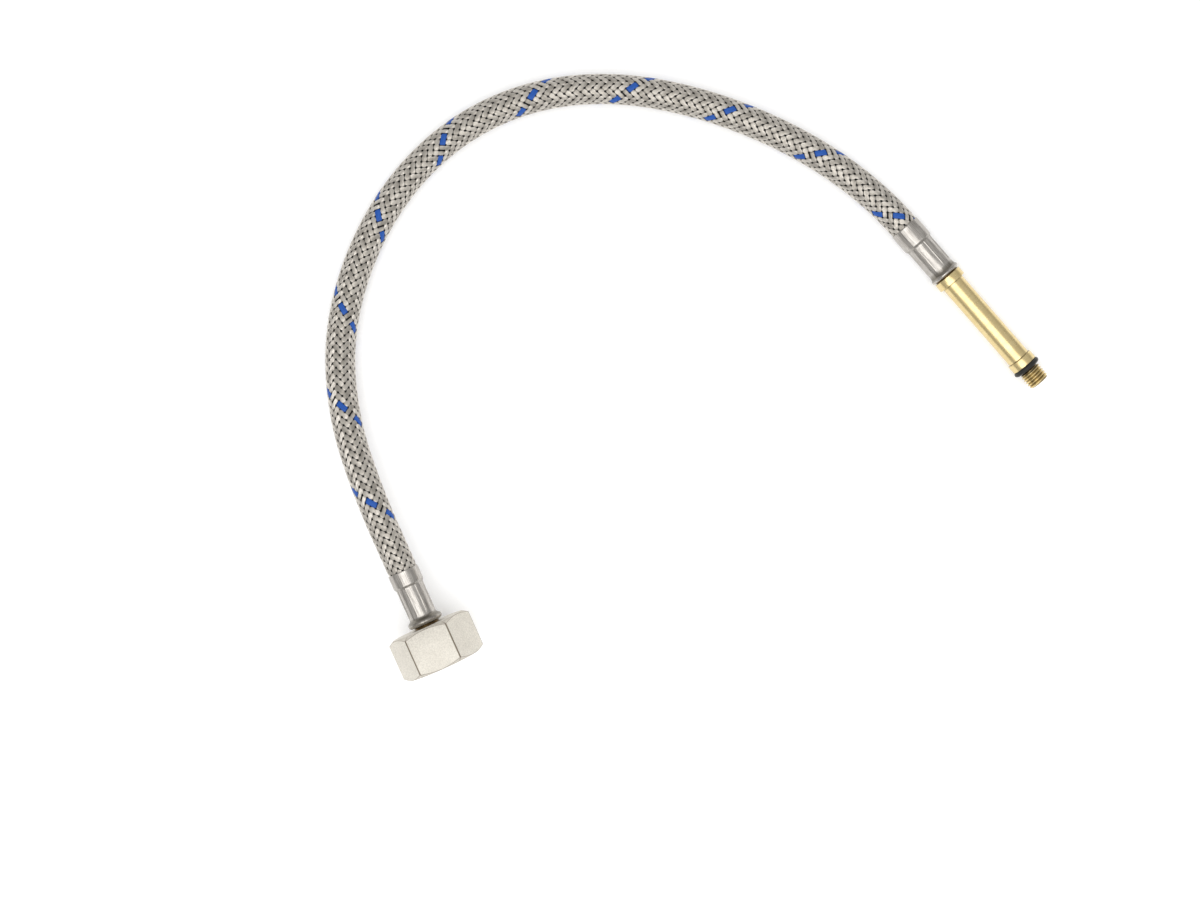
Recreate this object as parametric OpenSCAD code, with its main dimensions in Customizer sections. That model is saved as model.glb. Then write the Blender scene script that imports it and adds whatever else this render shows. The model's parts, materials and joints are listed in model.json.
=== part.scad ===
// Braided supply line: a flexible water hose with a G1/2 union nut at one end
// and a long M8 brass stem at the other.
//
// Frame: the origin is the centre of the union nut's open face. +Y runs along the
// nut's axis into the hose and +Z is up, away from the table the hose lies on.
// The nut stands on one of its flats, so the hose leaves it above the table, comes
// down over two lengths and then lies level while it curls clockwise, seen from above.
// The hose is cut into short sections that meet in ball-and-socket joints, so that a
// chain of stiff sections can follow a hose that really bends all along its length.

/* [Union nut] */
// Width across the nut's flats
nut_flats = 27; // [24:0.5:30]
// Length of the nut along its axis
nut_len = 15.5; // [14.5:0.5:18]
// Radius of the thread's crests, the smallest bore of a G1/2 thread
nut_thread_r = 9.315; // [9.2:0.005:9.5]
// Depth of the threaded length, measured from the open face
nut_thread_len = 7.5; // [6:0.5:7.5]
// Radius of the relief behind the thread, where the washer and the flange sit
nut_relief_r = 10.6; // [10.5:0.1:11]
// Thickness of the nut's back wall
nut_wall = 3; // [2:0.5:3]
// Distance the loose nut can be drawn back along the neck
nut_play = 0.8; // [0.4:0.1:0.8]

/* [Hose] */
// Outer radius of the wire braid
braid_r = 5.45; // [5:0.05:6]
// Thickness of the wire braid
braid_wall = 0.4; // [0.3:0.05:0.5]
// Inner radius of the rubber liner
liner_bore_r = 3.75; // [3.5:0.05:4]
// Length of hose served by one bending joint
section_len = 29.5; // [25:0.5:34]
// Clockwise turn of the hose after each joint, from the nut to the stem, in degrees
turns = [5, 14.5, 19, 15, 17, 19.5, 19, 15.5, 10, 9.5, 12, 7];
// Height of the level part of the hose above the table
lay_height = 6; // [5.8:0.1:7]
// Radial gap of the ball-and-socket joints between sections
socket_gap = 0.25; // [0.2:0.05:0.3]

/* [Ferrules] */
// Sheet thickness of both crimped ferrules
ferrule_wall = 0.42; // [0.35:0.01:0.45]
// Outer radius of the crimped length
crimp_r = 5.12; // [5:0.02:5.2]
// Length of the crimped length
crimp_len = 11; // [9:0.5:12]
// Outer radius of the uncrimped mouth, where the hose enters
mouth_r = 5.7; // [5.6:0.05:6]
// Length of the mouth of the ferrule at the nut
nut_mouth_len = 5; // [4:0.5:8]
// Length of the mouth of the ferrule at the stem
stem_mouth_len = 7.2; // [4:0.2:9]
// Outer radius of the rolled bead of the ferrule at the nut
nut_bead_r = 6.4; // [6:0.05:6.6]
// Outer radius of the rolled bead of the ferrule at the stem
stem_bead_r = 5.7; // [5.6:0.05:6]

/* [Stem] */
// Outer radius of the stem's M8 thread
stem_thread_r = 4; // [3.95:0.01:4]
// Length of the threaded tip
stem_thread_len = 6; // [5:0.5:7]
// Outer radius of the stem's tube
stem_tube_r = 4.2; // [4:0.05:4.4]
// Length of the tube between its two collars
stem_tube_len = 36.4; // [20:0.2:60]
// Outer radius of the collar behind the seal ring
front_collar_r = 4.85; // [4.7:0.05:5.1]
// Outer radius of the collar next to the ferrule
back_collar_r = 5.35; // [5.2:0.05:5.5]
// Length of each collar
collar_len = 3.1; // [2.5:0.1:4]
// Cord radius of the seal ring
ring_cord_r = 0.9; // [0.8:0.05:0.95]

/* [Hidden] */
$fn = 96;

// Lie of the hose
bends = len(turns);
sections = bends + 1;
nut_axis_height = nut_flats / 2;
lay_drop = nut_axis_height - lay_height;
lay_slope = asin(lay_drop / (2 * section_len));

// Union nut: a cone at each end turns the corners off, from just inside the flats
chamfer_angle = 30;
face_step = 0.3;
nut_face_r = nut_flats / 2 - face_step;
nut_corner_r = nut_flats / 2 / cos(30);
nut_cone_r = nut_corner_r + 1;
nut_cone_len = (nut_cone_r - nut_face_r) * tan(chamfer_angle);
neck_r = 4.7;
neck_gap = 0.25;
rest_gap = 0.1;

// Washer and flanged insert, placed from the nut's back wall forwards
washer_len = 2;
washer_r = 9.15;
washer_bore_r = 5;
flange_r = 9.1;
flange_len = 1.9;
flange_back = nut_len - nut_wall - rest_gap;
flange_front = flange_back - flange_len;
washer_back = flange_front - nut_play - rest_gap;

// Hose clamped inside a ferrule, measured from the ferrule's bead
bead_len = 3.4;
step_len = 1.2;
end_wall = 0.6;
bead_roundness = 0.64;
clamp_start = 1;
tail_r = 3.35;
barb_depth = 0.35;
barb_pitch = 3;
barb_count = 4;
barb_lead = 0.5;
nose_len = 0.6;
nose_wall = 0.2;
tail_bore_r = 2.4;
fit_gap = 0.03;
liner_step = 0.05;
crimp_end = bead_len + crimp_len;
mouth_start = crimp_end + step_len;
liner_r = braid_r - braid_wall - fit_gap;

// Places along the nut's axis
play_stop_gap = 0.05;
ferrule_at = nut_len + nut_play + play_stop_gap;
nut_ferrule_len = mouth_start + nut_mouth_len;
hose_start = ferrule_at + nut_ferrule_len;
first_joint = hose_start + section_len / 2;

// Places along the stem, measured from its threaded tip
ring_gap = 0.05;
undercut_len = 2 * ring_cord_r + 0.4;
undercut_r = 3.35;
front_collar_at = stem_thread_len + undercut_len;
tube_at = front_collar_at + collar_len;
back_collar_at = tube_at + stem_tube_len;
neck_show = 0.55;
stem_ferrule_at = back_collar_at + collar_len + neck_show;
stem_reach = stem_ferrule_at + mouth_start + stem_mouth_len;

// At a joint, a section ends in a ball that is a step smaller than the section, and
// the next section's socket clears the full radius of the hose
ball_step = 0.15;
socket_reach = braid_r + socket_gap;

// Vectors and the hose's path

function unit(v) = v / norm(v);
function sum_to(list, n) = n == 0 ? 0 : list[n - 1] + sum_to(list, n - 1);

// Compass heading and slope of the hose after bend k; bend 0 is the nut's axis
function yaw_after(k) = 90 - sum_to(turns, k);
function slope_after(k) = (k == 1 || k == 2) ? -lay_slope : 0;
function heading(k) = [
    cos(yaw_after(k)) * cos(slope_after(k)),
    sin(yaw_after(k)) * cos(slope_after(k)),
    sin(slope_after(k))
];

// Bend k is an arc from joint k to joint k + 1, or to the stem's ferrule
function bend_angle(k) = acos(heading(k - 1) * heading(k));
function bend_len(k) = k == bends ? section_len / 2 : section_len;
function bend_radius(k) = bend_len(k) / (bend_angle(k) * PI / 180);
function bend_side(k) = unit(heading(k) - heading(k - 1) * cos(bend_angle(k)));
function bend_centre(k) = joint_at(k) + bend_radius(k) * bend_side(k);
function joint_at(k) = k == 1 ? [0, first_joint, 0] : bend_end(k - 1);
function bend_end(k) = bend_centre(k) + bend_radius(k) * (
    sin(bend_angle(k)) * heading(k - 1) - cos(bend_angle(k)) * bend_side(k)
);

// The threaded tip of the stem, the far end of the whole line
stem_tip = bend_end(bends) + stem_reach * heading(bends);

// Children are moved to a frame with its origin and its X and Y axes given
module in_frame(origin, x, y) {
    z = cross(x, y);
    multmatrix([
        [x[0], y[0], z[0], origin[0]],
        [x[1], y[1], z[1], origin[1]],
        [x[2], y[2], z[2], origin[2]],
        [0, 0, 0, 1]
    ]) children();
}

// Children drawn along +Z are moved to start at a point and run in a direction
module along(start, direction) {
    across = unit(cross([0, 0, 1], direction));
    in_frame(start, across, cross(direction, across)) children();
}

// The nut's axis and the stem's axis as Z, each measured from its open end
module along_nut_axis() { rotate([-90, 0, 0]) children(); }
module along_stem_axis() { along(stem_tip, -heading(bends)) children(); }

// Hose pieces

// A solid rod along bend k, carried on past both ends of the bend by some length
module bent_rod(k, r, beyond) {
    beyond_angle = beyond / bend_radius(k) * 180 / PI;
    in_frame(bend_centre(k), -bend_side(k), heading(k - 1))
        rotate([0, 0, -beyond_angle])
            rotate_extrude(angle = bend_angle(k) + 2 * beyond_angle)
                translate([bend_radius(k), 0]) circle(r = r);
}

// One layer of the hose from joint k to the next joint: the end is a bored ball, and
// the start is hollowed to clear the ball of the section before it
module flexing_layer(k, inner, outer) {
    difference() {
        union() {
            bent_rod(k, outer, 0);
            along(bend_end(k), heading(k)) sphere(r = outer - ball_step);
        }
        bent_rod(k, inner, socket_reach + 1);
        along(joint_at(k), heading(k - 1)) sphere(r = socket_reach);
    }
}

// Outline of one layer inside a ferrule as a solid of revolution, measured from the
// ferrule's bead: squeezed by the crimp, then wider in the mouth, up to some length
module clamped_outline(squeezed, mouth, mouth_len, from, to) {
    polygon([
        [0, from],
        [squeezed, from],
        [squeezed, crimp_end],
        [mouth, mouth_start],
        [mouth, mouth_start + mouth_len + to],
        [0, mouth_start + mouth_len + to]
    ]);
}

// The layer clamped at the nut: straight up to joint 1, with a bored ball there.
// Each list holds the layer's inner and outer radius
module first_layer(squeezed, mouth, open) {
    joint = nut_ferrule_len + section_len / 2;
    along_nut_axis() translate([0, 0, ferrule_at])
        rotate_extrude()
            difference() {
                union() {
                    clamped_outline(squeezed[1], mouth[1], nut_mouth_len, clamp_start, 0);
                    translate([0, nut_ferrule_len]) square([open[1], section_len / 2]);
                    translate([0, joint]) intersection() {
                        circle(r = open[1] - ball_step);
                        square(open[1]);
                    }
                }
                clamped_outline(squeezed[0], mouth[0], nut_mouth_len, 0, 0);
                translate([0, nut_ferrule_len]) square([open[0], section_len]);
            }
}

// The layer clamped at the stem: the last bend, then straight to the ferrule's end
module last_layer(squeezed, mouth, open) {
    difference() {
        union() {
            bent_rod(bends, open[1], 0);
            along_stem_axis() translate([0, 0, stem_ferrule_at]) rotate_extrude()
                clamped_outline(squeezed[1], mouth[1], stem_mouth_len, clamp_start, 1);
        }
        bent_rod(bends, open[0], 0);
        along_stem_axis() translate([0, 0, stem_ferrule_at]) rotate_extrude()
            clamped_outline(squeezed[0], mouth[0], stem_mouth_len, 0, 1);
        along(joint_at(bends), heading(bends - 1)) sphere(r = socket_reach);
    }
}

// Section 1 of a layer is held by the nut's ferrule and the last one by the stem's
module layer_section(i, squeezed, mouth, open) {
    if (i == 1)
        first_layer(squeezed, mouth, open);
    else if (i == sections)
        last_layer(squeezed, mouth, open);
    else
        flexing_layer(i - 1, open[0], open[1]);
}

module braid_section(i) {
    squeezed = crimp_r - ferrule_wall - fit_gap;
    mouth = mouth_r - ferrule_wall - fit_gap;
    color("silver")
        layer_section(i,
            [squeezed - braid_wall, squeezed],
            [mouth - braid_wall, mouth],
            [braid_r - braid_wall, braid_r]);
}

module liner_section(i) {
    squeezed = crimp_r - ferrule_wall - braid_wall - 2 * fit_gap;
    mouth = mouth_r - ferrule_wall - braid_wall - 2 * fit_gap;
    color("dimgray")
        layer_section(i,
            [tail_r + fit_gap, squeezed],
            [liner_bore_r - liner_step, mouth],
            [liner_bore_r, liner_r]);
}

// Fittings

// A crimped ferrule, measured from its bead: an end wall around the neck, a rolled
// bead, the crimped length, and the mouth that the hose enters
module ferrule(neck, bead, mouth_len) {
    lip_r = (bead - crimp_r) * bead_roundness;
    crimp_inner_r = crimp_r - ferrule_wall;
    mouth_inner_r = mouth_r - ferrule_wall;
    mouth_end = mouth_start + mouth_len;
    rotate_extrude()
        difference() {
            union() {
                translate([bead - lip_r, lip_r]) circle(r = lip_r);
                polygon([
                    [neck, 0],
                    [bead - lip_r, 0],
                    [bead - lip_r, 2 * lip_r],
                    [crimp_r, bead_len],
                    [crimp_r, crimp_end],
                    [mouth_r, mouth_start],
                    [mouth_r, mouth_end],
                    [neck, mouth_end]
                ]);
            }
            polygon([
                [0, end_wall],
                [crimp_inner_r, end_wall],
                [crimp_inner_r, crimp_end],
                [mouth_inner_r, mouth_start],
                [mouth_inner_r, mouth_end + 1],
                [0, mouth_end + 1]
            ]);
        }
}

module nut_ferrule() {
    color("lightgray")
        along_nut_axis() translate([0, 0, ferrule_at])
            ferrule(neck_r + fit_gap, nut_bead_r, nut_mouth_len);
}

module stem_ferrule() {
    color("lightgray")
        along_stem_axis() translate([0, 0, stem_ferrule_at])
            ferrule(neck_r + fit_gap, stem_bead_r, stem_mouth_len);
}

// Outline of the barbed tail that a ferrule squeezes the hose onto, from the shoulder
// at some distance. Each barb rises sharply and falls away towards the tail's nose
function barbed_tail(shoulder) = concat(
    [[tail_r - barb_depth, shoulder]],
    [for (i = [0 : barb_count - 1])
        each [
            [tail_r - barb_depth, shoulder + barb_lead + i * barb_pitch],
            [tail_r, shoulder + barb_lead + i * barb_pitch]
        ]
    ],
    [
        [tail_r - barb_depth, tail_end(shoulder) - nose_len],
        [tail_bore_r + nose_wall, tail_end(shoulder)]
    ]
);
function tail_end(shoulder) = shoulder + barb_lead + barb_count * barb_pitch + nose_len;

// Brass insert: a flange that the nut pulls forward, a neck through the nut's back
// wall, and a barbed tail in the hose
module flanged_insert() {
    shoulder = ferrule_at + clamp_start - fit_gap;
    color("goldenrod")
        along_nut_axis()
            difference() {
                rotate_extrude()
                    polygon(concat(
                        [
                            [0, flange_front],
                            [flange_r, flange_front],
                            [flange_r, flange_back],
                            [neck_r, flange_back],
                            [neck_r, shoulder]
                        ],
                        barbed_tail(shoulder),
                        [[0, tail_end(shoulder)]]
                    ));
                cylinder(r = tail_bore_r, h = tail_end(shoulder) + 1);
            }
}

// Flat ring that seals between the insert's flange and the pipe the nut screws onto
module sealing_washer() {
    color("dimgray")
        along_nut_axis()
            translate([0, 0, washer_back - washer_len])
                difference() {
                    cylinder(r = washer_r, h = washer_len);
                    translate([0, 0, -1]) cylinder(r = washer_bore_r, h = washer_len + 2);
                }
}

// Hexagon bar with both ends turned to a cone, bored for the thread and the neck
module union_nut() {
    color("gainsboro")
        along_nut_axis()
            difference() {
                intersection() {
                    cylinder(r = nut_corner_r, h = nut_len, $fn = 6);
                    rotate_extrude()
                        polygon([
                            [0, 0],
                            [nut_face_r, 0],
                            [nut_cone_r, nut_cone_len],
                            [nut_cone_r, nut_len - nut_cone_len],
                            [nut_face_r, nut_len],
                            [0, nut_len]
                        ]);
                }
                rotate_extrude()
                    polygon([
                        [0, -1],
                        [nut_thread_r, -1],
                        [nut_thread_r, nut_thread_len],
                        [nut_relief_r, nut_thread_len],
                        [nut_relief_r, nut_len - nut_wall],
                        [neck_r + neck_gap, nut_len - nut_wall],
                        [neck_r + neck_gap, nut_len + 1],
                        [0, nut_len + 1]
                    ]);
            }
}

// Brass stem: threaded tip, undercut for the seal ring, two collars with the long
// tube between them, and a barbed tail in the hose
module stem() {
    tip_chamfer = 0.6;
    shoulder = stem_ferrule_at + clamp_start - fit_gap;
    color("gold")
        along_stem_axis()
            difference() {
                rotate_extrude()
                    polygon(concat(
                        [
                            [0, 0],
                            [stem_thread_r - tip_chamfer, 0],
                            [stem_thread_r, tip_chamfer],
                            [stem_thread_r, stem_thread_len],
                            [undercut_r, stem_thread_len],
                            [undercut_r, front_collar_at],
                            [front_collar_r, front_collar_at],
                            [front_collar_r, tube_at],
                            [stem_tube_r, tube_at],
                            [stem_tube_r, back_collar_at],
                            [back_collar_r, back_collar_at],
                            [back_collar_r, back_collar_at + collar_len],
                            [neck_r, back_collar_at + collar_len],
                            [neck_r, shoulder]
                        ],
                        barbed_tail(shoulder),
                        [[0, tail_end(shoulder)]]
                    ));
                translate([0, 0, -1])
                    cylinder(r = tail_bore_r, h = tail_end(shoulder) + 2);
            }
}

// Round-cord ring that seals the threaded tip against the tap
module stem_o_ring() {
    color("black")
        along_stem_axis()
            translate([0, 0, front_collar_at - ring_cord_r - ring_gap])
                rotate_extrude()
                    translate([undercut_r + ring_gap + ring_cord_r, 0])
                        circle(r = ring_cord_r);
}

union_nut();
sealing_washer();
flanged_insert();
nut_ferrule();
stem();
stem_o_ring();
stem_ferrule();
for (i = [1 : sections]) {
    braid_section(i);
    liner_section(i);
}
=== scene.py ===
# Looks of a braided supply line: union nut, braided hose and brass stem.
#
# Lengths are millimetres in this script until a mesh is made. Positions come from the
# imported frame: the joints give the hose's centre line and the mounts give the threads.

import json
import math

import bpy
import numpy as np
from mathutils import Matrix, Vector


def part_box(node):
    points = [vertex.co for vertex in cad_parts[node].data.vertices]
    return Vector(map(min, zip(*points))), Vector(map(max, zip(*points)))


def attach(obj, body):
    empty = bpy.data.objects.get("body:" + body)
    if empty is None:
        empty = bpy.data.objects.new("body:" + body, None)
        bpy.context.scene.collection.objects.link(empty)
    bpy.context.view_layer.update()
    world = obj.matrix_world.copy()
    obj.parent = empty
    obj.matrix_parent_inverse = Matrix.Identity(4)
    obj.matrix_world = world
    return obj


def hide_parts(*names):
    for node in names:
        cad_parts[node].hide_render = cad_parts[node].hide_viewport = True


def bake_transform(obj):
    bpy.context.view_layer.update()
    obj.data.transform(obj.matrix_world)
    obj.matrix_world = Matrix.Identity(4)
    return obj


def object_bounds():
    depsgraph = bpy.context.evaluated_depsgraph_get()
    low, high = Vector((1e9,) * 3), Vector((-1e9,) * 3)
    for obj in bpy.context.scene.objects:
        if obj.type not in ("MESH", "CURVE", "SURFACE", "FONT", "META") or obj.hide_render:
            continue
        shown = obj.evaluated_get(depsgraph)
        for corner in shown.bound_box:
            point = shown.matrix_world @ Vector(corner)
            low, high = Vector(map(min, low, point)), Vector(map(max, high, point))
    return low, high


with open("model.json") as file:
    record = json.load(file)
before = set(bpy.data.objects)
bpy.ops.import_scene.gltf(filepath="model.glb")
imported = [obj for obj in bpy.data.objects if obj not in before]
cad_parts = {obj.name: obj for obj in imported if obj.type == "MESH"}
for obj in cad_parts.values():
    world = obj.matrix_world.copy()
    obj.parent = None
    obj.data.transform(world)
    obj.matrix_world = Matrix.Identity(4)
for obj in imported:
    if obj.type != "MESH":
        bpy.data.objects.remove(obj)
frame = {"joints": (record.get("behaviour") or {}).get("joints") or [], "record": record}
cad_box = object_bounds()

MM = 0.001
TURN = 2 * math.pi
UP = np.array([0.0, 0.0, 1.0])
TURNED_SIDES = 96
FERRULE_SIDES = 288

# Union nut
NUT_FLATS = 27.0
NUT_LEN = 15.5
NUT_FACE_R = 13.2
NUT_CHAMFER = math.radians(30)
NUT_EDGE_ROUND = 0.75
NUT_WALL = 3.0
NUT_NECK_R = 4.95
TAP_CREST_R = 9.315
TAP_ROOT_R = 10.45
TAP_PITCH = 1.814
TAP_THREAD_LEN = 7.5
NUT_RELIEF_R = 10.6

# Washer, and the insert's flange behind it
WASHER_BORE_R = 5.0
WASHER_R = 9.15
FLANGE_R = 9.1

# Ferrules, measured from the bead, whose round edge is its lip
NUT_BEAD_R = 6.4
NUT_LIP_R = 1.2
STEM_BEAD_R = 5.7
STEM_LIP_R = 0.7
BEAD_LEN = 3.4
CRIMP_LEN = 11.0
STEP_LEN = 1.2
CRIMP_R = 5.12
MOUTH_R = 5.7
FERRULE_WALL = 0.42
FERRULE_END_WALL = 0.6
CRIMP_JAWS = 8
STEM_MOUTH_LEN = 7.2

# Stem, measured from the threaded tip
STEM_THREAD_R = 4.0
STEM_ROOT_R = 3.42
STEM_PITCH = 1.06
STEM_THREAD_LEN = 6.0
BORE_R = 2.4
UNDERCUT_LEN = 2.2
UNDERCUT_R = 3.35
COLLAR_LEN = 3.1
FRONT_COLLAR_R = 4.85
BACK_COLLAR_R = 5.35
TUBE_R = 4.2
TUBE_LEN = 36.4
NECK_R = 4.7
NECK_SHOW = 0.55
NECK_INSIDE = 0.97
RING_CORD_R = 0.9

# Barbed tails that hold the hose
TAIL_R = 3.35
BARB_DEPTH = 0.35
BARB_PITCH = 3.0
BARB_COUNT = 4

# Hose
BRAID_MID_R = 5.2
CARRIERS = 12
LEAD = 35.93
CROSSING = LEAD / (2 * CARRIERS)
PITCH_ANGLE = TURN / CARRIERS
WIRES = 6
LINER_R = 4.88
LINER_BORE_R = 3.75
TUCK = 3.2
MARKER = 8
WIRE_HEIGHT = 0.09
WAVE = 0.11
CROWN = 0.02
STRAND_WIDE = 0.97
STRAND_PINCH = 0.40
MARKER_WIDE = 1.12
MARKER_PINCH = 0.22
BESIDE_MARKER_WIDE = 0.72
WEAVE_TURN = math.radians(23)
BLEND_REACH = 12.0

# Camera, in metres and degrees
CAMERA_PLACE = (0.0818, 0.0475, 0.6705)
CAMERA_TURN_DEG = -24.12
LENS_LEN = 56.4


# Vectors and the hose's path


def unit(v):
    return v / np.linalg.norm(v)


def turned(v, axis, angles):
    """Vector v turned about a unit axis by each of the angles, as rows."""
    c = np.cos(angles)[:, None]
    s = np.sin(angles)[:, None]
    return v * c + np.cross(axis, v) * s + axis * np.dot(v, axis) * (1 - c)


def round_angles(count):
    """Angles spread evenly round a full turn."""
    return np.arange(count) / count * TURN


def smooth(t):
    """0 to 1 with a level start and end."""
    t = np.clip(t, 0, 1)
    return t * t * (3 - 2 * t)


class Path:
    """A centre line of straights and arcs, with a frame that never twists about it."""

    def __init__(self, start, heading, up):
        self.point = start
        self.axes = np.array([heading, up, np.cross(heading, up)])
        self.length = 0.0
        self.stretches = []

    def add(self, length, axis, centre, radius):
        """Adds a stretch: an arc about centre, or a straight where radius is None."""
        self.stretches.append((self.length, self.point, self.axes, axis, centre, radius))
        self.length += length
        self.point, self.axes = (found[0] for found in self.at(np.array([self.length])))

    def straight(self, length):
        self.add(length, None, None, None)

    def arc_to(self, target):
        """An arc that leaves along the present heading and ends at target."""
        heading = self.axes[0]
        chord = target - self.point
        half = math.acos(min(1.0, float(np.dot(heading, unit(chord)))))
        radius = np.linalg.norm(chord) / (2 * math.sin(half))
        axis = unit(np.cross(heading, chord))
        self.add(radius * 2 * half, axis, self.point + radius * np.cross(axis, heading), radius)

    def at(self, s):
        """Points and frames (heading, up, side) at distances s along the line."""
        points = np.zeros((len(s), 3))
        axes = np.zeros((len(s), 3, 3))
        starts = [stretch[0] for stretch in self.stretches]
        which = np.clip(np.searchsorted(starts, s, side="right") - 1, 0, None)
        for i, (start, point, base, axis, centre, radius) in enumerate(self.stretches):
            mine = which == i
            run = s[mine] - start
            if radius is None:
                points[mine] = point + run[:, None] * base[0]
                axes[mine] = base
                continue
            angles = run / radius
            points[mine] = centre + turned(point - centre, axis, angles)
            for k in range(3):
                axes[mine, k] = turned(base[k], axis, angles)
        return points, axes


def mount(name):
    """A mount's position in millimetres and its axis."""
    found = next(m for m in frame["record"]["mounts"] if m["name"] == name)
    return np.array(found["pos_m"]) / MM, unit(np.array(found["axis"], float))


def box_mm(node):
    """A CAD node's lowest and highest corners in millimetres."""
    low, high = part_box(node)
    return np.array(low) / MM, np.array(high) / MM


# The hose's hinges in order from the nut to the stem
stations = [j for j in frame["joints"] if j["name"].startswith(("bend_", "lift_"))]
anchors = [np.array(j["pos_m"]) / MM for j in stations]

nut_axis = -mount("tap_thread")[1]
stem_mid, stem_out = mount("stem_thread")
stem_tip = stem_mid + stem_out * STEM_THREAD_LEN / 2
stem_in = -stem_out

nut_ferrule_start = box_mm("nut_ferrule")[0][1]
nut_ferrule_end = box_mm("nut_ferrule")[1][1]
front_collar_at = STEM_THREAD_LEN + UNDERCUT_LEN
tube_at = front_collar_at + COLLAR_LEN
back_collar_at = tube_at + TUBE_LEN
stem_ferrule_start = back_collar_at + COLLAR_LEN + NECK_SHOW
nut_mouth_len = nut_ferrule_end - nut_ferrule_start - BEAD_LEN - CRIMP_LEN - STEP_LEN
stem_reach = stem_ferrule_start + BEAD_LEN + CRIMP_LEN + STEP_LEN + STEM_MOUTH_LEN

path = Path(nut_axis * nut_ferrule_end, nut_axis, UP)
path.straight(anchors[0][1] - nut_ferrule_end)
station_s = [path.length]
for anchor in anchors[1:]:
    path.arc_to(anchor)
    station_s.append(path.length)
path.arc_to(stem_tip + stem_reach * stem_in)
hose_len = path.length
path.straight(TUCK)


# Meshes


def make_piece(name, points, faces, material, sharp_deg=40):
    """A smooth-shaded mesh object from points in millimetres."""
    mesh = bpy.data.meshes.new(name)
    mesh.from_pydata((points * MM).tolist(), [], faces)
    mesh.polygons.foreach_set("use_smooth", np.ones(len(mesh.polygons), bool))
    mesh.set_sharp_from_angle(angle=math.radians(sharp_deg))
    mesh.materials.append(material)
    piece = bpy.data.objects.new(name, mesh)
    bpy.context.scene.collection.objects.link(piece)
    return piece


def set_values(piece, name, values):
    """Stores one number or one vector per point under a name that materials read."""
    kind = "FLOAT" if values.ndim == 1 else "FLOAT_VECTOR"
    attribute = piece.data.attributes.new(name, kind, "POINT")
    field = "value" if values.ndim == 1 else "vector"
    attribute.data.foreach_set(field, values.astype(np.float32).ravel())


def grid_faces(rows, columns, first=0, rows_close=False):
    """Quads over rows of points. Each row is a closed loop; rows_close joins the ends."""
    row = np.arange(rows if rows_close else rows - 1)[:, None]
    column = np.arange(columns)[None, :]
    here = row * columns
    there = (row + 1) % rows * columns
    beside = (column + 1) % columns
    corners = [here + column, here + beside, there + beside, there + column]
    return (np.stack([c + first for c in corners], -1)).reshape(-1, 4)


def local_axes(start, direction):
    """Two unit vectors across a straight axis; the second is the one nearest to up."""
    up = unit(UP - direction * np.dot(UP, direction))
    return np.cross(up, direction), up


def turned_piece(name, start, direction, rings, material, angles=None, sharp_deg=40):
    """A hollow solid of rings about an axis. rings is (along, radius) per ring, where
    each may be a number or one value per angle. The last ring joins the first. At the
    start face they run outward and at the end face inward, so that all faces look out."""
    if angles is None:
        angles = round_angles(TURNED_SIDES)
    across, up = local_axes(start, direction)
    count = len(angles)
    along = np.array([np.broadcast_to(a, count) for a, r in rings])
    radius = np.array([np.broadcast_to(r, count) for a, r in rings])
    sideways = radius * np.cos(angles)
    upward = radius * np.sin(angles)
    points = (
        start
        + along[..., None] * direction
        + sideways[..., None] * across
        + upward[..., None] * up
    )
    faces = grid_faces(len(rings), count, rows_close=True).tolist()
    piece = make_piece(name, points.reshape(-1, 3), faces, material, sharp_deg)
    set_values(piece, "grain", np.stack([sideways, upward, along], -1).reshape(-1, 3))
    return piece


def rounded(outline, size, steps=3):
    """A closed outline of (along, radius) points with each corner cut by a small arc."""
    result = []
    count = len(outline)
    for i in range(count):
        before, here, after = (
            np.array(outline[(i + k) % count], float) for k in (-1, 0, 1)
        )
        reach_in = min(size, 0.4 * np.linalg.norm(before - here))
        reach_out = min(size, 0.4 * np.linalg.norm(after - here))
        a = here + unit(before - here) * reach_in
        b = here + unit(after - here) * reach_out
        for t in np.linspace(0, 1, steps):
            result.append((1 - t) ** 2 * a + 2 * t * (1 - t) * here + t * t * b)
    return [(float(p[0]), float(p[1])) for p in result]


def thread_radius(along, angles, crest, root, pitch):
    """Radius of a right-hand thread with flattened crests and roots."""
    phase = (along / pitch - angles / TURN) % 1.0
    ramp = np.clip(np.abs(phase - 0.5) * 2.9 - 0.28, 0, 1)
    return crest + (root - crest) * ramp


# Materials


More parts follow.
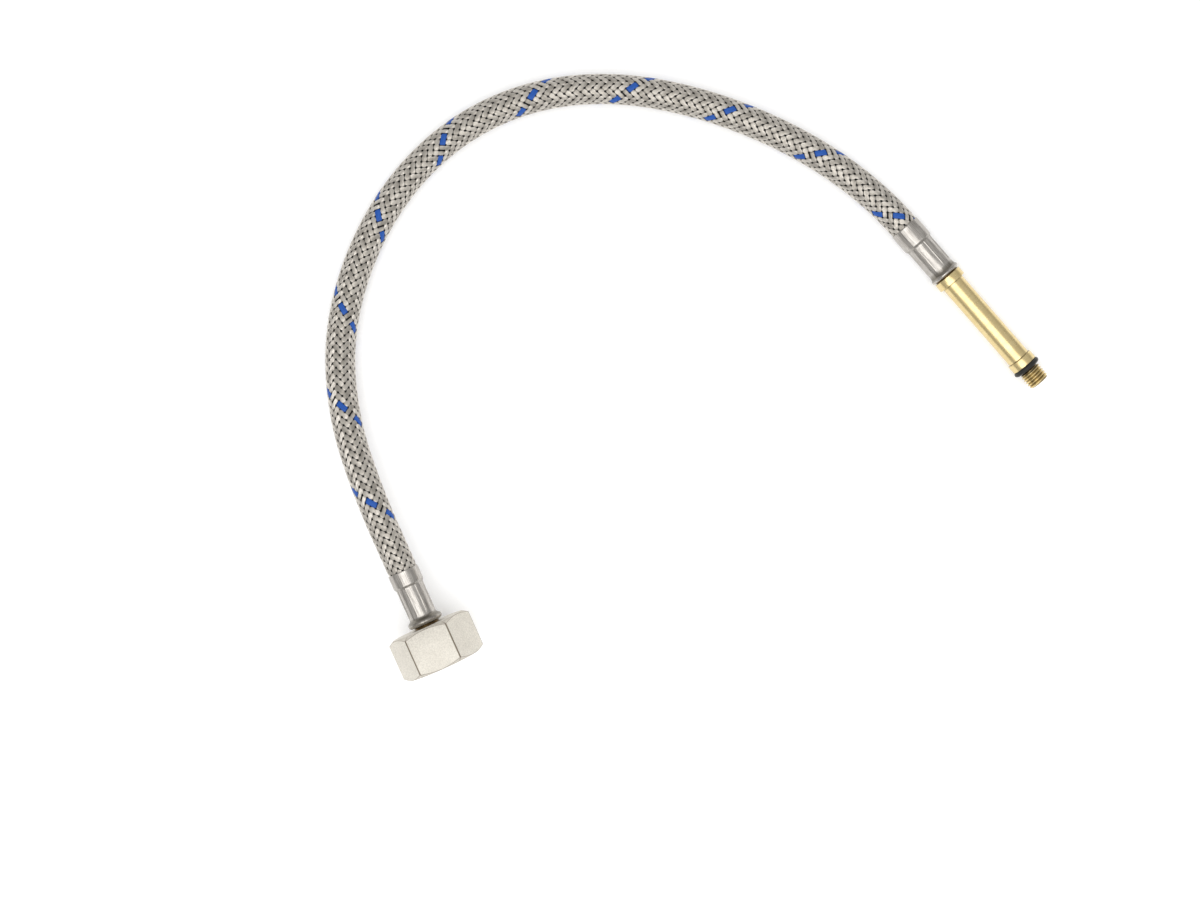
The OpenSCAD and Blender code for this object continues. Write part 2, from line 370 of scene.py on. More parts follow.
class Shader:
    """A material's nodes, with short calls to add and link them."""

    def __init__(self, name, **settings):
        self.material = bpy.data.materials.new(name)
        self.material.use_nodes = True
        self.nodes = self.material.node_tree.nodes
        self.links = self.material.node_tree.links
        self.surface = self.nodes["Principled BSDF"]
        for key, value in settings.items():
            title = key.replace("_", " ").title().replace("Ior", "IOR")
            self.feed(self.surface.inputs[title], value)

    def feed(self, socket, value):
        if isinstance(value, bpy.types.NodeSocket):
            self.links.new(value, socket)
        elif isinstance(value, tuple) and len(value) == 3 and socket.type == "RGBA":
            socket.default_value = (*value, 1)
        else:
            socket.default_value = value

    def add(self, kind, output=0, inputs=(), **settings):
        node = self.nodes.new(kind)
        for key, value in settings.items():
            setattr(node, key, value)
        for key, value in dict(inputs).items():
            self.feed(node.inputs[key], value)
        return node.outputs[output]

    def attribute(self, name, output="Fac"):
        return self.add("ShaderNodeAttribute", output, attribute_name=name)

    def math(self, operation, a, b):
        return self.add("ShaderNodeMath", 0, {0: a, 1: b}, operation=operation)

    def stretched(self, vector, scale):
        return self.add(
            "ShaderNodeVectorMath", 0, {0: vector, 1: scale}, operation="MULTIPLY"
        )

    def noise(self, vector, scale, detail=3.0):
        inputs = {"Vector": vector, "Scale": scale, "Detail": detail}
        return self.add("ShaderNodeTexNoise", "Fac", inputs)

    def between(self, factor, low, high):
        """A number that goes from low to high as factor goes from 0.3 to 0.7."""
        inputs = {"Value": factor, 1: 0.3, 2: 0.7, 3: low, 4: high}
        return self.add("ShaderNodeMapRange", 0, inputs)

    def mix(self, factor, a, b, blend_type="MIX"):
        node = self.nodes.new("ShaderNodeMix")
        node.data_type = "RGBA"
        node.blend_type = blend_type
        colours = [socket for socket in node.inputs if socket.type == "RGBA"]
        self.feed(node.inputs["Factor"], factor)
        self.feed(colours[0], a)
        self.feed(colours[1], b)
        return next(socket for socket in node.outputs if socket.type == "RGBA")

    def bump(self, *layers):
        """Stacks bumps, each a (height, depth in millimetres) pair."""
        normal = None
        for height, depth in layers:
            inputs = {"Height": height, "Distance": depth * MM, "Strength": 1.0}
            if normal is not None:
                inputs["Normal"] = normal
            normal = self.add("ShaderNodeBump", 0, inputs)
        self.feed(self.surface.inputs["Normal"], normal)

    def colour(self, value):
        self.feed(self.surface.inputs["Base Color"], value)

    def roughness(self, value):
        self.feed(self.surface.inputs["Roughness"], value)


def nickel():
    """Bead-blasted nickel plate: a fine even grain, and darker brown where the attribute edge is
    set, along the hexagon's corners and the rims of its cones and faces.
    """
    shader = Shader("nickel_blasted", metallic=1.0)
    grain = shader.attribute("grain", "Vector")
    speckle = shader.noise(grain, 2.2, 5.0)
    cloud = shader.noise(grain, 0.18)
    fine = shader.math("MULTIPLY", speckle, 0.8)
    mottle = shader.math("ADD", fine, shader.math("MULTIPLY", cloud, 0.2))
    plate = shader.mix(shader.between(mottle, 0.0, 1.0), (0.62, 0.587, 0.522), (0.875, 0.842, 0.772))
    dark_rims = shader.attribute("edge")
    # darker brown along the nut's corners and rims, as the edge attribute gives
    shader.colour(shader.mix(dark_rims, plate, (0.26, 0.215, 0.16)))
    shader.roughness(shader.between(speckle, 0.60, 0.72))
    shader.bump((speckle, 0.10), (cloud, 0.05))
    return shader.material


def ferrule_steel():
    """Pressed stainless sheet, with faint draw lines along it, and painted shade where the attribute
    edge is set.
    """
    shader = Shader("ferrule_steel", metallic=1.0)
    grain = shader.attribute("grain", "Vector")
    lines = shader.noise(shader.stretched(grain, (6.0, 6.0, 0.25)), 1.0, 4.0)
    cloud = shader.noise(grain, 0.45)
    sheet = shader.mix(shader.between(lines, 0.0, 1.0), (0.26, 0.242, 0.22), (0.62, 0.59, 0.55))
    # painted shade: dark steel mixed in by the edge attribute on the bead, its waist crease, the jaw
    # ridges, the step and the mouth's inner lip
    shader.colour(shader.mix(shader.attribute("edge"), sheet, (0.13, 0.115, 0.09)))
    shader.roughness(shader.between(cloud, 0.26, 0.34))
    shader.bump((lines, 0.010), (cloud, 0.02))
    return shader.material


def brass():
    """Turned brass: fine tool marks round it, slight staining, and painted shade where the attribute
    edge is set.
    """
    shader = Shader("brass_turned", metallic=1.0)
    grain = shader.attribute("grain", "Vector")
    marks = shader.noise(shader.stretched(grain, (0.12, 0.12, 9.0)), 1.0, 4.0)
    cloud = shader.noise(grain, 0.35)
    clean = shader.mix(shader.between(marks, 0.0, 1.0), (0.68, 0.545, 0.275), (0.775, 0.638, 0.355))
    stained = shader.mix(shader.between(cloud, 0.0, 0.3), clean, (0.56, 0.41, 0.16))
    # painted shade: near-black brass where the edge attribute is set, in thread roots, grooves,
    # inner corners and on the necks
    shader.colour(shader.mix(shader.attribute("edge"), stained, (0.08, 0.05, 0.02)))
    shader.roughness(shader.between(cloud, 0.24, 0.32))
    shader.bump((marks, 0.006), (cloud, 0.02))
    return shader.material


def braid_wire():
    """Drawn steel wire. Each wire has its own tone, and painted shade darkens it where it dives
    under the others.
    """
    shader = Shader("braid_wire", metallic=1.0)
    grain = shader.attribute("grain", "Vector")
    streaks = shader.noise(shader.stretched(grain, (0.35, 9.0, 1.0)), 1.0, 4.0)
    tone = shader.attribute("tone")
    wire = shader.mix(tone, (0.33, 0.305, 0.268), (0.78, 0.738, 0.674))
    streaked = shader.mix(shader.between(streaks, 0.0, 0.3), wire, (0.29, 0.264, 0.23))
    # painted shade: darker where the strand dives under, by the depth attribute
    shader.colour(shader.mix(shader.attribute("depth"), streaked, (0.10, 0.094, 0.086)))
    shader.roughness(shader.between(streaks, 0.26, 0.40))
    return shader.material


def marker_thread():
    """Blue marker thread: a flat bundle of glossy fibres, painted near black where it dives under
    the wires.
    """
    shader = Shader("marker_blue", specular_ior_level=0.25)
    grain = shader.attribute("grain", "Vector")
    fibres = shader.noise(shader.stretched(grain, (0.5, 14.0, 1.0)), 1.0, 4.0)
    blue = shader.mix(shader.between(fibres, 0.0, 1.0), (0.006, 0.045, 0.22), (0.018, 0.10, 0.42))
    # painted shade: near black where the thread dives under
    shader.colour(shader.mix(shader.attribute("depth"), blue, (0.001, 0.001, 0.002)))
    shader.roughness(shader.between(fibres, 0.34, 0.5))
    shader.bump((fibres, 0.03))
    return shader.material


def rubber(name, colour, low, high):
    """Matt black rubber with a fine pore."""
    shader = Shader(name, specular_ior_level=0.3)
    grain = shader.attribute("grain", "Vector")
    pores = shader.noise(grain, 4.0, 4.0)
    lighter = tuple(1.6 * c for c in colour)
    shader.colour(shader.mix(shader.between(pores, 0.0, 1.0), colour, lighter))
    shader.roughness(shader.between(pores, low, high))
    shader.bump((pores, 0.012))
    return shader.material


nickel_plate = nickel()
sheet_steel = ferrule_steel()
turned_brass = brass()
steel_wire = braid_wire()
blue_thread = marker_thread()
liner_rubber = rubber("liner_rubber", (0.010, 0.010, 0.009), 0.5, 0.7)
seal_rubber = rubber("seal_rubber", (0.012, 0.012, 0.010), 0.38, 0.5)


def finish_piece(piece, body, slot, *nodes):
    """Rides a rigid piece on its body and hides the CAD nodes it stands for; slot is not used."""
    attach(piece, body)
    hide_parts(*nodes)


# Union nut


def hexagon_outline():
    """Angles and radii round a hexagon with rounded corners, with a flat facing down."""
    inner = NUT_FLATS / 2 - NUT_EDGE_ROUND
    half_flat = inner * math.tan(math.radians(30))
    points, edge = [], []
    for side in range(6):
        middle = math.radians(side * 60 + 30)
        out = np.array([math.cos(middle), math.sin(middle)])
        cross = np.array([-out[1], out[0]])
        for t in np.linspace(-1, 1, 19):
            points.append(out * NUT_FLATS / 2 + cross * half_flat * t)
            edge.append(0.0)
        corner = out * inner + cross * half_flat
        for turn in np.radians((10, 20, 30, 40, 50)):
            nose = math.cos(turn) * out + math.sin(turn) * cross
            points.append(corner + NUT_EDGE_ROUND * nose)
            # darker plate on the rounded corners, most in their middle
            edge.append(1.0 if 0.25 < turn < 0.8 else 0.6)
    points = np.array(points)
    angles = np.arctan2(points[:, 1], points[:, 0]) % TURN
    order = np.argsort(angles)
    return angles[order], np.hypot(*points[order].T), np.array(edge)[order]


def union_nut():
    """Hexagon nut with coned ends, an internal thread and a back wall round the neck."""
    angles, side_r, corner = hexagon_outline()
    slope = math.tan(NUT_CHAMFER)
    cone_len = (side_r - NUT_FACE_R) * slope
    soft = 0.16
    rings, edges = [], []

    # Each ring's third value darkens the plate: the hexagon's corners, the rims between flats and
    # cones, and the faces' edges.
    def ring(along, radius, edge=0.0):
        rings.append((along, radius))
        edges.append(np.broadcast_to(edge, len(angles)))

    mouth = TAP_ROOT_R + 0.25
    thread_rows = np.arange(0.75, TAP_THREAD_LEN, 0.15)
    fade_in = smooth((thread_rows - 0.6) / 0.9)
    ring(0.0, mouth + 0.1)
    ring(0.12, mouth)
    for along, fade in zip(thread_rows, fade_in):
        cut = thread_radius(along, angles, TAP_CREST_R, TAP_ROOT_R, TAP_PITCH)
        ring(along, cut * fade + np.maximum(cut, TAP_ROOT_R) * (1 - fade))
    ring(TAP_THREAD_LEN, NUT_RELIEF_R)
    ring(NUT_LEN - NUT_WALL, NUT_RELIEF_R)
    ring(NUT_LEN - NUT_WALL, NUT_NECK_R + 0.2)
    ring(NUT_LEN - NUT_WALL + 0.2, NUT_NECK_R)
    ring(NUT_LEN - 0.3, NUT_NECK_R)
    ring(NUT_LEN, NUT_NECK_R + 0.3)
    ring(NUT_LEN, NUT_FACE_R - soft)
    ring(NUT_LEN - 0.25 * soft, NUT_FACE_R + 0.5 * soft, 0.3)
    ring(NUT_LEN - cone_len + soft * slope, side_r - soft, 0.15 + 0.6 * corner)
    ring(NUT_LEN - cone_len - 0.15 * soft, side_r - 0.3 * soft, 0.9)
    ring(NUT_LEN - cone_len - soft, side_r, corner)
    ring(cone_len + soft, side_r, corner)
    ring(cone_len + 0.15 * soft, side_r - 0.3 * soft, 0.9)
    ring(cone_len - soft * slope, side_r - soft, 0.15 + 0.6 * corner)
    ring(0.25 * soft, NUT_FACE_R + 0.5 * soft, 0.3)
    ring(0.0, NUT_FACE_R - soft)
    piece = turned_piece(
        "union_nut_body", np.zeros(3), nut_axis, rings[::-1], nickel_plate, angles, 30
    )
    set_values(piece, "edge", np.array(edges[::-1]).ravel())
    finish_piece(piece, "nut", "nickel", "union_nut")


def sealing_washer():
    low, high = box_mm("sealing_washer")
    outline = [
        (low[1], WASHER_BORE_R),
        (low[1], WASHER_R),
        (high[1], WASHER_R),
        (high[1], WASHER_BORE_R),
    ]
    piece = turned_piece(
        "washer_ring", np.zeros(3), nut_axis, rounded(outline, 0.35, 4), seal_rubber
    )
    finish_piece(piece, "washer", "seal_rubber", "sealing_washer")


# Turned brass pieces


def barbed_tail(shoulder):
    """Outline of the tail behind a shoulder: barbs that rise sharply and fall away."""
    low = TAIL_R - BARB_DEPTH
    outline = [(shoulder, low)]
    for i in range(BARB_COUNT):
        at = shoulder + 0.5 + i * BARB_PITCH
        outline += [(at, low), (at + 0.05, TAIL_R)]
    end = shoulder + 0.5 + BARB_COUNT * BARB_PITCH
    return outline + [(end, low), (end + 0.6, BORE_R + 0.2), (end + 0.6, BORE_R)]


def flanged_insert():
    """Flange behind the washer, neck through the nut's back wall, and barbed tail."""
    front = box_mm("flanged_insert")[0][1]
    flange_back = NUT_LEN - NUT_WALL - 0.1
    outline = [
        (front, BORE_R),
        (front, FLANGE_R),
        (flange_back, FLANGE_R),
        (flange_back, NECK_R),
        (nut_ferrule_start + NECK_INSIDE, NECK_R),
    ]
    outline = rounded(outline + barbed_tail(nut_ferrule_start + NECK_INSIDE), 0.15)
    piece = turned_piece("insert_body", np.zeros(3), nut_axis, outline, turned_brass)
    along, radius = np.array(outline).T
    # painted shade on the neck, inside the nut and in the gap before the ferrule
    in_gap = (radius < NECK_R + 0.01) & (along < nut_ferrule_start + 0.9)
    set_values(piece, "edge", np.repeat(in_gap.astype(float), TURNED_SIDES))
    finish_piece(piece, "nut_end", "brass", "flanged_insert")


def stem():
    """Long stem: threaded tip, seal groove, two collars, tube and barbed tail."""
    angles = round_angles(TURNED_SIDES)
    rings, edges = [], []

    def ring(along, radius, edge=0.0):
        rings.append((along, radius))
        edges.append(np.broadcast_to(edge, len(angles)))

    ring(0.0, BORE_R + 0.25)
    ring(0.0, STEM_ROOT_R - 0.1)
    for along in np.arange(0.1, STEM_THREAD_LEN - 0.1, 0.09):
        tip = STEM_ROOT_R + smooth(along / 0.7) * (STEM_THREAD_R - STEM_ROOT_R)
        cut = thread_radius(along, angles, STEM_THREAD_R, STEM_ROOT_R, STEM_PITCH)
        last = smooth((STEM_THREAD_LEN - 0.1 - along) / 0.4)
        radius = STEM_ROOT_R + (np.minimum(cut, tip) - STEM_ROOT_R) * last
        # painted shade in the thread's roots
        ring(along, radius, 0.7 - 0.7 * smooth((radius - STEM_ROOT_R) / 0.3))
    # painted shade in the undercut
    ring(STEM_THREAD_LEN, UNDERCUT_R, 1.0)
    collar_corners = rounded(
        [
            (STEM_THREAD_LEN, UNDERCUT_R),
            (front_collar_at, UNDERCUT_R),
            (front_collar_at, FRONT_COLLAR_R),
            (tube_at, FRONT_COLLAR_R),
            (tube_at, TUBE_R),
            (back_collar_at, TUBE_R),
            (back_collar_at, BACK_COLLAR_R),
            (back_collar_at + COLLAR_LEN, BACK_COLLAR_R),
            (back_collar_at + COLLAR_LEN, NECK_R),
            (stem_ferrule_start + NECK_INSIDE, NECK_R),
        ],
        0.14,
        4,
    )[4:]
    for along, radius in collar_corners:
        # painted shade in the seal groove, in the tube's corners at the collars and on the neck
        near_tube = min(abs(along - tube_at), abs(along - back_collar_at)) < 0.16
        in_corner = near_tube and radius < TUBE_R + 0.2
        in_seal_groove = along < front_collar_at + 0.02
        on_neck = radius < NECK_R + 0.05 and along > back_collar_at + 1
        ring(along, radius, 1.0 if in_seal_groove or on_neck else 0.75 * in_corner)
        if abs(along - tube_at) < 0.16 and radius == TUBE_R:
            ring(along + 0.25, TUBE_R)
            ring(back_collar_at - 0.4, TUBE_R)
    for along, radius in rounded(barbed_tail(stem_ferrule_start + NECK_INSIDE), 0.12):
        ring(along, radius)
    ring(0.25, BORE_R)
    piece = turned_piece("stem_body", stem_tip, stem_in, rings, turned_brass, angles, 50)
    set_values(piece, "edge", np.array(edges).ravel())
    finish_piece(piece, "stem_end", "brass", "stem")


def stem_o_ring():
    """Seal ring in its groove, with a fine moulding line round its middle."""
    centre_r = UNDERCUT_R + 0.05 + RING_CORD_R
    rings = []
    for turn in round_angles(24):
        flash = 0.05 * math.exp(-((math.sin(turn / 2) / 0.09) ** 2))
        reach = RING_CORD_R + flash
        rings.append((reach * math.sin(turn), centre_r + reach * math.cos(turn)))
    start = stem_tip + stem_in * (front_collar_at - RING_CORD_R - 0.05)
    piece = turned_piece("seal_ring", start, stem_in, rings, seal_rubber)
    finish_piece(piece, "stem_end", "seal_rubber", "stem_o_ring")


# Ferrules


def ferrule(name, start, direction, bead_r, lip_r, mouth_len, body, node, seam_deg, bead_shade):
    """Pressed ferrule: rolled bead, a length crimped flat by jaws that leave a ridge
    between each pair, a step, and the round mouth that the hose enters."""
    angles = round_angles(FERRULE_SIDES)
    seam = math.radians(seam_deg)
    jaw = ((angles - seam) * CRIMP_JAWS / TURN + 0.5) % 1.0 - 0.5
    ridge = np.exp(-((jaw / 0.05) ** 2))
    flat = np.cos(jaw * math.pi) ** 2
    crimp_end = BEAD_LEN + CRIMP_LEN
    mouth_start = crimp_end + STEP_LEN
    mouth_end = mouth_start + mouth_len
    rings, edges = [], []

    # Each ring's third value is painted shade, mixed to dark steel by the material.
    def ring(along, radius, edge=0.0):
        rings.append((along, radius))
        edges.append(np.broadcast_to(edge, len(angles)))

    ring(0.12, NECK_R + 0.04)
    ring(0.0, NECK_R + 0.2)
    ring(0.0, bead_r - lip_r)
    for turn in np.radians(np.arange(15, 151, 9)):
        along = lip_r * (1 - math.cos(turn))
        radius = bead_r - lip_r + lip_r * math.sin(turn)
        # painted shade on the bead all round it, darker on its side towards the crimp
        ring(along, radius, bead_shade + 0.6 * smooth(turn - 1.4))
    for t in (0.15, 0.3, 0.5, 0.75):
        waist = CRIMP_R - 0.1 + (radius - CRIMP_R + 0.1) * (1 - t) ** 3
        # painted shade in the waist crease behind the bead
        ring(along + (BEAD_LEN - along) * t, waist, 0.9 * (1 - t) ** 0.5)
    for along in np.linspace(BEAD_LEN, crimp_end, 23):
        grip = smooth((along - BEAD_LEN) / 1.2)
        pressed = CRIMP_R - 0.1 + grip * (0.15 * ridge - 0.07 * flat + 0.07)
        # painted shade along the jaw ridges
        ring(along, pressed, 0.35 * grip * ridge)
    for t in (0.3, 0.6, 0.85, 1.0):
        along = crimp_end + STEP_LEN * t
        grown = CRIMP_R - 0.03 + (MOUTH_R - CRIMP_R) * smooth(t)
        # painted shade on the step and along the ridges
        ring(along, grown + 0.10 * ridge * (1 - 0.4 * t), 0.45 * (1 - t) + 0.25 * ridge)
    for t in (0.08, 0.2, 0.4, 0.7, 0.95):
        tail = 0.06 * ridge * (1 - 0.4 * t)
        # painted shade along the ridges on the mouth
        ring(mouth_start + mouth_len * t - 0.1, MOUTH_R + tail - 0.03, 0.3 * ridge)
    ring(mouth_end - 0.25, MOUTH_R)
    ring(mouth_end - 0.06, MOUTH_R - 0.07)
    ring(mouth_end, MOUTH_R - 0.2)
    # painted shade on the mouth's inner lip
    ring(mouth_end - 0.05, MOUTH_R - FERRULE_WALL + 0.05, 0.4)
    ring(mouth_end - 0.2, MOUTH_R - FERRULE_WALL)
    ring(mouth_start, MOUTH_R - FERRULE_WALL)
    ring(crimp_end, CRIMP_R - 0.17 - FERRULE_WALL)
    ring(FERRULE_END_WALL, CRIMP_R - 0.17 - FERRULE_WALL)
    ring(FERRULE_END_WALL, NECK_R + 0.04)
    piece = turned_piece(name, start, direction, rings, sheet_steel, angles, 35)
    set_values(piece, "edge", np.array(edges).ravel())
    finish_piece(piece, body, "ferrule_steel", node)


# Hose


def hose_points(s, angle, radius):
    """Points at distances s along the hose, at angles round it from its upper side."""
    centres, axes = path.at(s.ravel())
    shape = s.shape + (3,)
    up = axes[:, 1].reshape(shape)
    side = axes[:, 2].reshape(shape)
    lift = up * np.cos(angle)[..., None] + side * np.sin(angle)[..., None]
    return centres.reshape(shape) + lift * radius[..., None]


def liner_piece(k, s_from, s_to):
    """Rubber tube under one stretch of braid, seen through the holes between strands."""
    s = np.linspace(s_from, s_to, 1 + round((s_to - s_from) / 1.5))
    angles = round_angles(40)
    rows = []
    for radius, order in ((LINER_R, s), (LINER_BORE_R, s[::-1])):
        along, around = np.meshgrid(order, angles, indexing="ij")
        rows.append(hose_points(along, around, np.full(along.shape, radius)))
    points = np.concatenate(rows)
    faces = grid_faces(len(points), len(angles), rows_close=True).tolist()
    piece = make_piece(f"liner_tube_{k}", points.reshape(-1, 3), faces, liner_rubber)
    set_values(piece, "grain", points.reshape(-1, 3))
    return piece


# Where along its weave a strand is sampled: x is 0 at the middle of a float, a float
# lies over two strands from -1 to 1, and then dives under the next two
DIVE = 0.15
FLOAT_SAMPLES = np.array([-0.93, -0.8, -0.5, -0.22, 0.0, 0.22, 0.5, 0.8, 0.93])
WEAVE_SAMPLES = np.concatenate([FLOAT_SAMPLES, FLOAT_SAMPLES + 2])


def strand_samples(x_from, x_to):
    """Weave positions from x_from to x_to, in the order a strand meets them. Pieces
    that share an end share its sample."""
    low, high = sorted((x_from, x_to))
    cycles = np.arange(math.floor(low / 4) - 1, math.floor(high / 4) + 2)
    every = np.sort((cycles[:, None] * 4 + WEAVE_SAMPLES[None, :]).ravel())
    if x_to > x_from:
        first = np.searchsorted(every, x_from)
        last = np.searchsorted(every, x_to)
        return every[first : last + 1]
    first = np.searchsorted(every, x_from, side="right") - 1
    last = np.searchsorted(every, x_to, side="right") - 1
    return every[last : first + 1][::-1]


def weave(x):
    """Height of a strand, from 1 over the others to -1 under them, and its crown."""
    away = np.abs((x + 2) % 4 - 2)
    dive = smooth((away - 1 + DIVE) / (2 * DIVE))
    return 1 - 2 * dive, np.cos(math.pi / 2 * away)


def wire_profile():
    """Section of a strand of round wires: places across it and heights, as a loop."""
    across, height = [], []
    for wire in range(WIRES):
        for t in (-1.0, -0.5, 0.5):
            across.append(-1 + 2 * (wire + (t + 1) / 2) / WIRES)
            height.append(WIRE_HEIGHT * math.sqrt(1 - t * t))
    across += [1.0, 0.95, 0.0, -0.95]
    height += [0.0, -WIRE_HEIGHT, -WIRE_HEIGHT, -WIRE_HEIGHT]
    return np.array(across), np.array(height)


def tape_profile():
    """Section of the flat marker thread."""
    across = np.array([-1.0, -0.94, -0.5, 0.0, 0.5, 0.94, 1.0, 0.9, 0.0, -0.9])
    height = np.array([0.0, 0.045, 0.07, 0.075, 0.07, 0.045, 0.0, -0.05, -0.05, -0.05])
    return across, height


def neck_in(s):
    """Share of its full radius that the hose keeps near and inside the ferrules."""
    inside = np.minimum(s, hose_len - s)
    return 1 - 0.038 * (1 - smooth((inside + 0.3) / 2.2))


def strand(direction, index, s_from, s_to, is_marker):
    """Rows of points of one strand, with the values that its material reads."""
    offset = 0.5 if direction > 0 else 2.5
    x_ends = [index + direction * s / CROSSING + index - offset for s in (s_from, s_to)]
    x = strand_samples(*x_ends)
    across, height = tape_profile() if is_marker else wire_profile()
    over, crown = weave(x)
    crossed = np.round(x - index + offset).astype(int) % CARRIERS
    wide = np.full(len(x), MARKER_WIDE if is_marker else STRAND_WIDE)
    pinch = MARKER_PINCH if is_marker else STRAND_PINCH
    if direction > 0:
        wide[(crossed == MARKER) & (over > 0)] = BESIDE_MARKER_WIDE
    fill = np.minimum(wide, wide.max() - pinch * np.cos(math.pi * x) ** 4)
    own = index + across[None, :] * fill[:, None] / 2
    crossing = (x - index + offset)[:, None]
    s = direction * (crossing - own) * CROSSING
    angle = WEAVE_TURN + PITCH_ANGLE * own + direction * TURN / LEAD * s
    lift = WAVE * over + CROWN * crown
    if is_marker:
        lift = np.where(over > 0, 0.09, 0.17) * over
    radius = BRAID_MID_R + lift[:, None] + height[None, :] - 0.06 * across[None, :] ** 4
    points = hose_points(s, angle, radius * neck_in(s))
    # painted shade: depth is 0 where the strand lies over and 1 where it dives under
    depth = np.broadcast_to(smooth(-over)[:, None], s.shape)
    run = x[:, None] * CROSSING * 1.35 + 0 * own
    grain = np.stack([run, own * 2.0 + 0 * run, 0 * run + index * 7.3], -1)
    return points, depth, grain


def braid_piece(k, s_from, s_to, marker_only):
    """One stretch of the braid: every strand but the marker, or the marker alone."""
    random = np.random.default_rng(20 + k)
    points, depths, grains, tones, faces = [], [], [], [], []
    count = 0
    for direction in (1, -1):
        for index in range(CARRIERS):
            is_marker = direction < 0 and index == MARKER
            if is_marker != marker_only:
                continue
            rows, depth, grain = strand(direction, index, s_from, s_to, is_marker)
            length, width = depth.shape
            faces += grid_faces(length, width, count).tolist()
            faces.append(list(range(count, count + width))[::-1])
            faces.append(list(range(count + (length - 1) * width, count + length * width)))
            wire = (np.arange(width) // 3 + 7 * index + 100 * direction) % 53
            shade = 0.5 + 0.5 * np.sin(wire * 12.9898)
            tone = 0.25 + 0.6 * shade[None, :] + 0.15 * random.random((length, 1))
            points.append(rows.reshape(-1, 3))
            depths.append(depth.ravel())
            grains.append(grain.reshape(-1, 3))
            tones.append(np.broadcast_to(tone, depth.shape).ravel())
            count += length * width
    name = f"marker_thread_{k}" if marker_only else f"braid_wires_{k}"
    material = blue_thread if marker_only else steel_wire
    piece = make_piece(name, np.concatenate(points), faces, material, 60)
    set_values(piece, "depth", np.concatenate(depths))
    set_values(piece, "grain", np.concatenate(grains))
    set_values(piece, "tone", np.concatenate(tones))
    return piece


def hose():
    """The hose in one stretch for each hinge, from mid-section to mid-section, where each stretch
    meets its neighbours."""
    middles = [(a + b) / 2 for a, b in zip(station_s[:-1], station_s[1:])]
    ends = [-TUCK] + middles + [hose_len + TUCK]
    for k, joint in enumerate(stations, 1):
        s_from, s_to = ends[k - 1], ends[k]
        at = station_s[k - 1]
        start, end = path.at(np.array([at - BLEND_REACH, at + BLEND_REACH]))[0] * MM
        wires = braid_piece(k, s_from, s_to, False)
        marker = braid_piece(k, s_from, s_to, True)
        liner = liner_piece(k, s_from, s_to)
        for piece, slot in (
            (wires, "braid_wire"),
            (marker, "tape_blue"),
            (liner, "liner_rubber"),
        ):
            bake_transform(piece)
        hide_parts(f"braid_{k}", f"braid_{k + 1}")
        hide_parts(f"liner_{k}", f"liner_{k + 1}")


# Floor, light and camera


def floor():
    reach = 3.0
    level = cad_box[0].z
    ways = [(-1, -1), (1, -1), (1, 1), (-1, 1)]
    corners = [(x * reach, y * reach, level) for x, y in ways]
    shader = Shader("floor_pale", base_color=(0.92, 0.92, 0.92), roughness=0.9)
    shader.feed(shader.surface.inputs["Emission Color"], (1.0, 1.0, 1.0))
    shader.feed(shader.surface.inputs["Emission Strength"], 0.12)
    mesh = bpy.data.meshes.new("floor")
    mesh.from_pydata(corners, [], [(0, 1, 2, 3)])
    mesh.materials.append(shader.material)
    plane = bpy.data.objects.new("floor", mesh)
    bpy.context.scene.collection.objects.link(plane)


def soft_light(name, place, target, size, watts):
    lamp = bpy.data.lights.new(name, "AREA")
    lamp.shape = "RECTANGLE"
    lamp.size, lamp.size_y = size
    lamp.energy = watts
    holder = bpy.data.objects.new(name, lamp)
    holder.location = place
    aim = Vector(target) - Vector(place)
    holder.rotation_euler = aim.to_track_quat("-Z", "Y").to_euler()
    bpy.context.scene.collection.objects.link(holder)


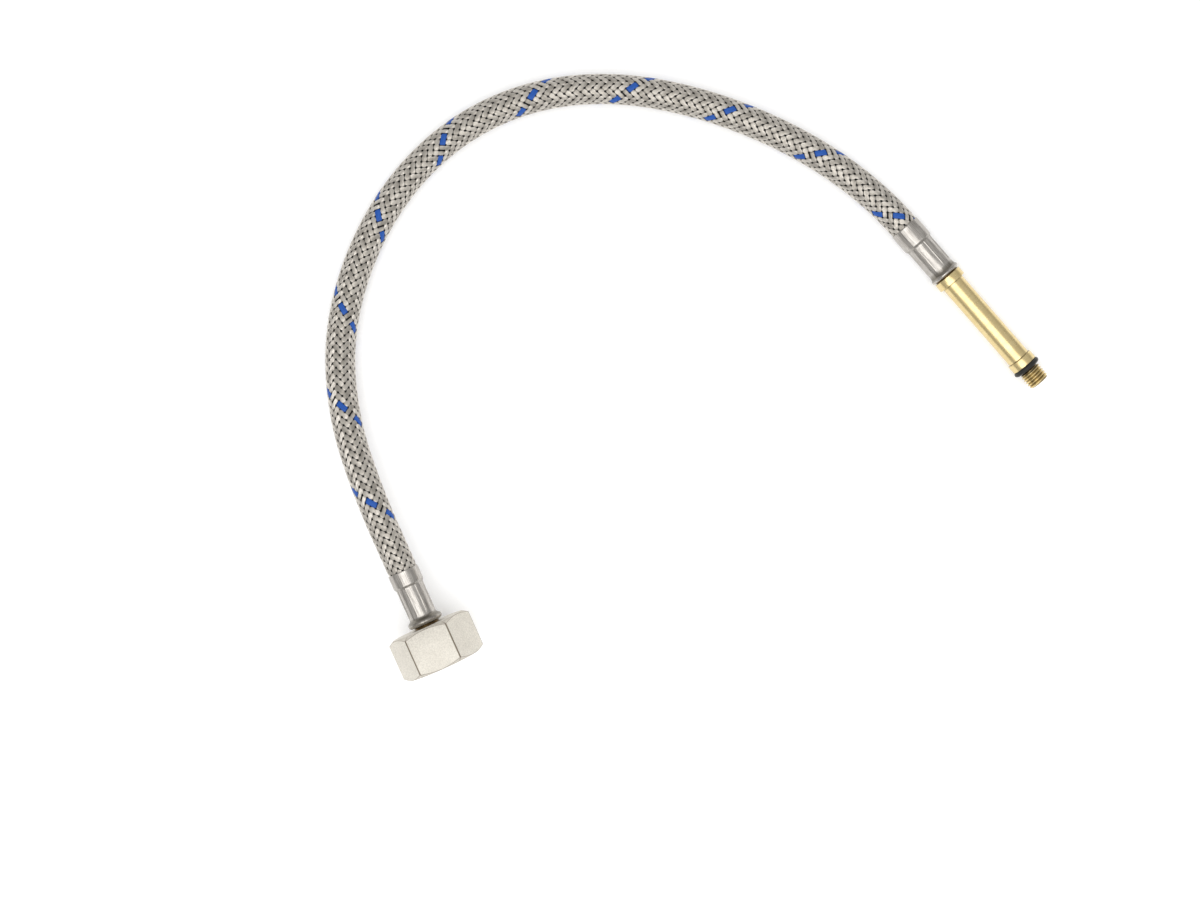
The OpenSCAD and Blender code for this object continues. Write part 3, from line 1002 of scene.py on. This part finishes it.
def studio():
    """A pale room, with a soft box overhead. Metal sees it dimmer near the horizon."""
    world = bpy.data.worlds.new("studio")
    bpy.context.scene.world = world
    world.use_nodes = True
    nodes, links = world.node_tree.nodes, world.node_tree.links
    background = nodes["Background"]
    place = nodes.new("ShaderNodeTexCoord")
    height = nodes.new("ShaderNodeSeparateXYZ")
    ramp = nodes.new("ShaderNodeValToRGB")
    ramp.color_ramp.elements[0].position = 0.0
    ramp.color_ramp.elements[0].color = (0.42, 0.415, 0.41, 1)
    ramp.color_ramp.elements[1].position = 0.7
    ramp.color_ramp.elements[1].color = (0.72, 0.72, 0.72, 1)
    seen = nodes.new("ShaderNodeLightPath")
    pale = nodes.new("ShaderNodeMix")
    pale.data_type = "RGBA"
    colours = [socket for socket in pale.inputs if socket.type == "RGBA"]
    links.new(place.outputs["Generated"], height.inputs[0])
    links.new(height.outputs["Z"], ramp.inputs[0])
    links.new(seen.outputs["Is Glossy Ray"], pale.inputs["Factor"])
    links.new(ramp.outputs[0], colours[1])
    colours[0].default_value = (1.0, 1.0, 1.0, 1)
    links.new(next(s for s in pale.outputs if s.type == "RGBA"), background.inputs["Color"])
    background.inputs["Strength"].default_value = 1.0
    centre = ((cad_box[0] + cad_box[1]) / 2).to_tuple()
    soft_light("overhead", (-0.06, -0.24, 0.92), centre, (0.9, 0.9), 4.6)


def camera():
    """Looks straight down at the line."""
    lens = bpy.data.cameras.new("camera")
    lens.sensor_width = 36
    lens.lens = LENS_LEN
    lens.clip_start = 0.01
    holder = bpy.data.objects.new("camera", lens)
    holder.location = CAMERA_PLACE
    holder.rotation_euler = (0, 0, math.radians(CAMERA_TURN_DEG))
    bpy.context.scene.collection.objects.link(holder)
    bpy.context.scene.camera = holder
    bpy.context.scene.view_settings.view_transform = "Standard"


union_nut()
sealing_washer()
flanged_insert()
# last value: painted shade on the nut ferrule's bead
ferrule(
    "nut_ferrule_shell", nut_axis * nut_ferrule_start, nut_axis, NUT_BEAD_R, NUT_LIP_R,
    nut_mouth_len, "nut_end", "nut_ferrule", 75, 0.2,
)
stem()
stem_o_ring()
# last value: no painted shade on the stem ferrule's bead
ferrule(
    "stem_ferrule_shell", stem_tip + stem_in * stem_ferrule_start, stem_in, STEM_BEAD_R, STEM_LIP_R,
    STEM_MOUTH_LEN, "stem_end", "stem_ferrule", 12, 0.0,
)
hose()
floor()
studio()
camera()
